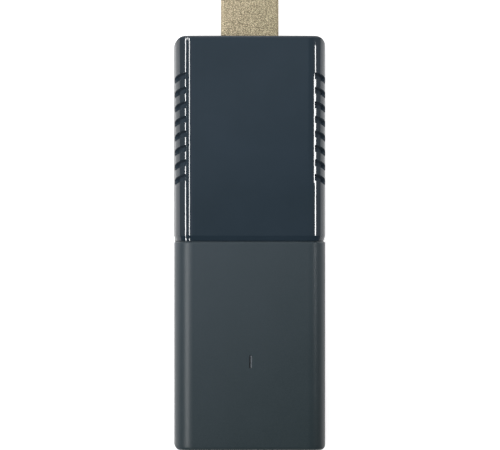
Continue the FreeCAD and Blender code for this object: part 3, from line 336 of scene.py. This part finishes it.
def extruded_aluminium():
    """Aluminium with draw lines along its length."""
    return grained("extruded_aluminium", size=0.12 * MM, detail=3,
                   tones=(srgb(178, 181, 184), srgb(214, 216, 218)), rough=(0.28, 0.45),
                   depth=0.004 * MM, stretch=(1, 0.02, 1), fixed={"Metallic": 1.0})


def tinned_sheet():
    """Tin plate with its faint crystal bloom."""
    bloom_size, smudge_size = 1.4 * MM, 3 * MM
    made = Recipe("tinned_sheet", {"Metallic": 1.0})
    bloom = made.cells(bloom_size)
    smudge = made.noise(smudge_size, detail=4)
    made.colour(made.mottle(bloom, srgb(196, 198, 196), srgb(222, 224, 222), 0.0, 0.8))
    made.rough(smudge, 0.22, 0.42)
    return made.material


def screw_steel():
    """Zinc-plated steel with a slightly blue cast."""
    return grained("screw_steel", size=0.4 * MM, detail=4, tones=(srgb(166, 170, 176), srgb(206, 209, 214)),
                   rough=(0.2, 0.38), fixed={"Metallic": 1.0})


def ferrite():
    """Pressed ferrite: dark, dull and granular."""
    grain_size, grain_depth = 0.14 * MM, 0.01 * MM
    made = Recipe("ferrite")
    grain = made.cells(grain_size)
    made.colour(made.mottle(grain, srgb(46, 46, 48), srgb(78, 78, 80), 0.1, 0.7))
    made.rough(grain, 0.55, 0.75, 0.0, 0.8)
    made.bump(grain, grain_depth)
    return made.material


def capacitor_ceramic():
    """Tan ceramic blocks with tinned ends."""
    cap, cap_edge, grain_size = 0.3 * MM, 0.03 * MM, 0.1 * MM
    made = Recipe("capacitor_ceramic")
    low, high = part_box("board_capacitors")
    reach = (high.y - low.y) / 2
    offset = made.math("SUBTRACT", made.axis("Y"), (high.y + low.y) / 2)
    end = made.spread(made.math("ABSOLUTE", offset), reach - cap, reach - cap + cap_edge)
    grain = made.noise(grain_size, detail=3)
    body = made.mottle(grain, srgb(150, 112, 78), srgb(176, 138, 100))
    made.colour(made.blend(end, body, srgb(200, 200, 198)))
    made.links.new(end, made.shader.inputs["Metallic"])
    made.rough(grain, 0.35, 0.5)
    return made.material


def drawn_steel():
    """Nickel-plated steel with fine drawing marks."""
    return grained("drawn_steel", size=0.1 * MM, detail=3, tones=(srgb(176, 176, 172), srgb(208, 208, 204)),
                   rough=(0.22, 0.36), depth=0.002 * MM, stretch=(0.2, 1, 1), fixed={"Metallic": 1.0})


def lamp_body():
    """White lamp package with a yellow phosphor window in its top."""
    window_radius, window_edge, grain_size = 0.28 * MM, 0.04 * MM, 0.1 * MM
    made = Recipe("lamp_body")
    low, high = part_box("status_led")
    centre = (low + high) / 2
    across = made.math("SUBTRACT", made.axis("X"), centre.x)
    along = made.math("SUBTRACT", made.axis("Y"), centre.y)
    rim = made.spread(made.distance(across, along), window_radius, window_radius + window_edge)
    grain = made.noise(grain_size)
    phosphor = made.blend(grain, srgb(226, 200, 92), srgb(240, 220, 120))
    made.colour(made.blend(rim, phosphor, srgb(226, 226, 222)))
    made.rough(grain, 0.3, 0.4)
    return made.material


def pipe_clear():
    """Unlit light pipe, dark as painted shade in its slit, with a pale strip just right of its middle as a
    painted highlight.
    """
    haze_size, strip_place = 0.3 * MM, 0.17 * MM
    strip_half, strip_end = 0.05 * MM, 0.09 * MM
    made = Recipe("pipe_clear", {"IOR": 1.49, "Transmission Weight": 0.25})
    haze = made.noise(haze_size, detail=3)
    painted_highlight_colour = made.mottle(haze, srgb(176, 184, 192), srgb(206, 214, 222))
    aside = made.math("ABSOLUTE", made.math("SUBTRACT", made.axis("X"), strip_place))
    strip = made.spread(aside, strip_half, strip_end, 1, 0)
    # Painted shade and highlight: dark over the pipe, with a pale strip in place of the bright wall of its
    # slit.
    made.colour(made.blend(strip, srgb(14, 18, 24), painted_highlight_colour))
    made.rough(haze, 0.25, 0.4)
    return made.material


def plunger_plastic():
    """Light grey acetal of the reset plunger."""
    return grained("plunger_plastic", size=0.15 * MM, detail=2,
                   tones=(srgb(176, 178, 180), srgb(196, 198, 200)), rough=(0.3, 0.42), depth=0.002 * MM)


FINISHES = {
    gloss_plastic: ["front_cover"],
    matte_plastic: ["rear_cover"],
    base_plastic: ["base_shell"],
    blasted_nickel: ["plug_shell"],
    core_plastic: ["plug_insulator", "socket_tongue", "switch_case"],
    contact_gold: ["plug_contacts", "socket_contacts"],
    board_laminate: ["main_board"],
    chip_epoxy: ["processor", "memory_chips", "flash_chip", "power_chip", "radio_module"],
    pad_rubber: ["thermal_pad"],
    extruded_aluminium: ["heat_sink"],
    tinned_sheet: ["shield_fence", "radio_shield", "left_antenna", "right_antenna"],
    screw_steel: ["board_screws"],
    ferrite: ["power_inductors"],
    capacitor_ceramic: ["board_capacitors"],
    drawn_steel: ["socket_shell", "clock_crystal", "switch_cover", "reset_dome"],
    lamp_body: ["status_led"],
    pipe_clear: ["light_pipe"],
    plunger_plastic: ["reset_plunger"],
}


def dress_nodes():
    """Gives every CAD node its finish."""
    for recipe, names in FINISHES.items():
        material = recipe()
        for name in names:
            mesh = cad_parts[name].data
            mesh.materials.clear()
            mesh.materials.append(material)


# Floor, light and camera

LENS = 500.0
SENSOR = 36.0
PICTURE_WIDTH = 500
PIXELS_PER_MM = 4.149
LEAN = math.radians(1.72)
AIM = Vector((-0.12, 4.36, TOP / MM)) * MM
LIGHT_REACH = 600 * MM


def make_camera():
    """Looks straight down on the stick, leaning a little to its left."""
    view_width = PICTURE_WIDTH / PIXELS_PER_MM * MM
    distance = view_width * LENS / SENSOR
    data = bpy.data.cameras.new("camera")
    data.lens = LENS
    data.sensor_width = SENSOR
    data.clip_end = distance * 4
    camera = bpy.data.objects.new("camera", data)
    back = Vector((-math.sin(LEAN), 0, math.cos(LEAN)))
    camera.location = AIM + back * distance
    camera.rotation_euler = (0, -LEAN, 0)
    bpy.context.scene.collection.objects.link(camera)
    bpy.context.scene.camera = camera


def floor_paper():
    """White paper, glowing white to the camera; reflections show it weaker to the right and rear and dark
    beside the stick, as painted shade.
    """
    camera_glow, right_glow, rear_glow, far_rear_glow = 0.74, 0.8, 0.69, 0.1
    fibre_size, right_fade, rear_fade, behind_fade = 6 * MM, 10 * MM, 5 * MM, 15 * MM
    crevice_from, crevice_to = 0.3 * MM, 0.6 * MM
    glow_from, glow_to = 0.5 * MM, 3 * MM
    made = Recipe("floor_paper", {"Roughness": 0.9, "Specular IOR Level": 0.2})
    made.shader.inputs["Emission Color"].default_value = (*WHITE, 1)
    sheet = made.blend(made.noise(fibre_size, detail=4), srgb(228, 228, 228), srgb(234, 234, 234))
    rays = made.nodes.new("ShaderNodeLightPath").outputs
    across, along = made.axis("X"), made.axis("Y")

    seen = made.math("MAXIMUM", rays["Is Camera Ray"], rays["Is Transmission Ray"])
    direct = made.math("MULTIPLY", seen, camera_glow)

    aside = made.math("SUBTRACT", made.math("ABSOLUTE", across), HALF_WIDTH)
    beyond = made.math("SUBTRACT", made.math("ABSOLUTE", along), HALF_LENGTH)
    clear_of_stick = made.math("MAXIMUM", aside, beyond)
    # Painted shade in reflections: their glow fades out beside the stick and weakens to the right and rear.
    mirrored = made.spread(clear_of_stick, glow_from, glow_to)
    right_side = made.spread(across, -right_fade, right_fade, 1, right_glow)
    rear_half = made.spread(along, -rear_fade, rear_fade, rear_glow, 1)
    behind = made.spread(along, -HALF_LENGTH - behind_fade, -HALF_LENGTH, far_rear_glow, 1)
    for share in (right_side, rear_half, behind, rays["Is Glossy Ray"]):
        mirrored = made.math("MULTIPLY", mirrored, share)
    made.links.new(made.math("MAXIMUM", direct, mirrored), made.shader.inputs["Emission Strength"])

    # Painted contact shadow: reflections see the paper dark right beside the stick.
    near_stick = made.spread(clear_of_stick, crevice_from, crevice_to, 1, 0)
    painted_contact_shadow = made.math("MULTIPLY", rays["Is Glossy Ray"], near_stick)
    made.colour(made.blend(painted_contact_shadow, sheet, srgb(40, 42, 44)))
    return made.material


def make_floor():
    """A plain white floor, still shaded, with a window below the stick to see its underside."""
    side, depth, margin = 4.0, 0.01 * MM, 2 * MM
    low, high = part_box("base_shell")
    left, right, rear, front = low.x + margin, high.x - margin, low.y + margin, high.y - margin
    ring = [(-side, -side), (side, -side), (side, side), (-side, side)]
    ring += [(left, rear), (right, rear), (right, front), (left, front)]
    faces = [(0, 1, 5, 4), (1, 2, 6, 5), (2, 3, 7, 6), (3, 0, 4, 7)]
    mesh = bpy.data.meshes.new("floor")
    mesh.from_pydata([(*corner, -depth) for corner in ring], [], faces)
    mesh.materials.append(floor_paper())
    floor = bpy.data.objects.new("floor", mesh)
    bpy.context.scene.collection.objects.link(floor)


def area_light(name, size, radiance, lean=0, pitch=0, along=0.0, reach=LIGHT_REACH, grid=None):
    """A soft rectangle that faces the stick, leaning towards +X and pitched towards +Y.

    A honeycomb grid keeps its light within that many degrees, without dimming it on its axis.
    """
    data = bpy.data.lights.new(name, "AREA")
    data.shape = "RECTANGLE"
    data.size, data.size_y = size
    data.energy = radiance * math.pi * data.size * data.size_y
    if grid:
        half_spread = math.radians(grid) / 2
        data.spread = 2 * half_spread
        data.energy *= 1 - half_spread / math.tan(half_spread)
    light = bpy.data.objects.new(name, data)
    across, ahead = math.tan(math.radians(lean)), math.tan(math.radians(pitch))
    towards = Vector((across, ahead, 1)).normalized()
    light.location = Vector((0, along, TOP)) + towards * reach
    side = Vector((0, 1, 0)).cross(towards).normalized()
    turn = Matrix((side, towards.cross(side), towards)).transposed()
    light.rotation_euler = turn.to_euler()
    bpy.context.scene.collection.objects.link(light)


def make_lights():
    """Tubes whose reflections line the shoulders, and soft boxes in front and behind."""
    left_length, left_place, right_grid = 69.2 * MM, 30.6 * MM, 17
    box_size = (0.9, 0.3)
    area_light("left_outer_tube", (54 * MM, left_length), radiance=26, lean=-46, along=left_place)
    area_light("left_inner_tube", (48 * MM, left_length), radiance=21, lean=-20, along=left_place)
    area_light("left_front_bar", (270 * MM, 0.3 * MM), radiance=20, lean=-32, along=65.3 * MM)
    area_light("left_rear_tube", (178 * MM, 58 * MM), radiance=20.5, lean=-34.5, along=-34 * MM)
    area_light("left_outer_bevel_tube", (60 * MM, 50 * MM), radiance=30, lean=-49.3, pitch=-36.8)
    area_light("left_inner_bevel_tube", (46 * MM, 50 * MM), radiance=26, lean=-21.3, pitch=-29.9)
    area_light("right_tube", (80 * MM, 64 * MM), radiance=30, lean=50, along=31 * MM, grid=right_grid)
    area_light("right_slot_tube", (56 * MM, 35.4 * MM), radiance=31, lean=42.6, along=35.8 * MM,
               grid=right_grid)
    area_light("front_box", box_size, radiance=0.95, pitch=52)
    area_light("near_front_box", (0.5, 0.16), radiance=2.2, pitch=24, reach=440 * MM)
    area_light("rear_box", box_size, radiance=0.6, pitch=-60)


def make_ceiling_card():
    """A faint card overhead that brightens towards the plug, for the roof to mirror."""
    half_width, rear, front, height = 260 * MM, -30 * MM, 260 * MM, TOP + LIGHT_REACH
    leftward, faint_at, bright_at = 0.6, -5 * MM, 38 * MM
    faint, bright = 0.10, 0.31
    corners = [(-half_width, rear), (-half_width, front), (half_width, front), (half_width, rear)]
    mesh = bpy.data.meshes.new("ceiling_card")
    mesh.from_pydata([(*corner, height) for corner in corners], [], [(0, 1, 2, 3)])
    card = bpy.data.objects.new("ceiling_card", mesh)
    card.visible_camera = False
    bpy.context.scene.collection.objects.link(card)
    made = Recipe("card_glow", {"Base Color": (0, 0, 0, 1), "Emission Color": (0.85, 1.0, 1.15, 1)})
    glow = made.spread(made.slant(leftward), faint_at, bright_at, faint, bright)
    made.links.new(glow, made.shader.inputs["Emission Strength"])
    mesh.materials.append(made.material)


def make_world():
    """A dim room, brighter at both sides, dark behind the stick and white below the horizon."""
    middle_level, side_level = 0.13, 0.36
    side_from, side_to = 0.5, 0.85
    dark_from, dark_to = -0.30, -0.45
    horizon = 0.01
    world = bpy.data.worlds.new("room")
    world.use_nodes = True
    room = Tree(world.node_tree)
    direction = room.nodes.new("ShaderNodeTexCoord").outputs["Generated"]
    aside = room.math("ABSOLUTE", room.part_of(direction, "X"))
    sides = room.spread(aside, side_from, side_to, middle_level, side_level)
    not_behind = room.spread(room.part_of(direction, "Y"), dark_to, dark_from)
    below = room.spread(room.part_of(direction, "Z"), -horizon, horizon, 1, 0)
    level = room.math("MAXIMUM", below, room.math("MULTIPLY", not_behind, sides))
    background = room.nodes["Background"]
    room.links.new(level, background.inputs["Strength"])
    background.inputs["Color"].default_value = (*WHITE, 1)
    bpy.context.scene.world = world


dress_nodes()
make_floor()
make_lights()
make_ceiling_card()
make_world()
make_camera()
bpy.context.scene.view_settings.view_transform = "Standard"
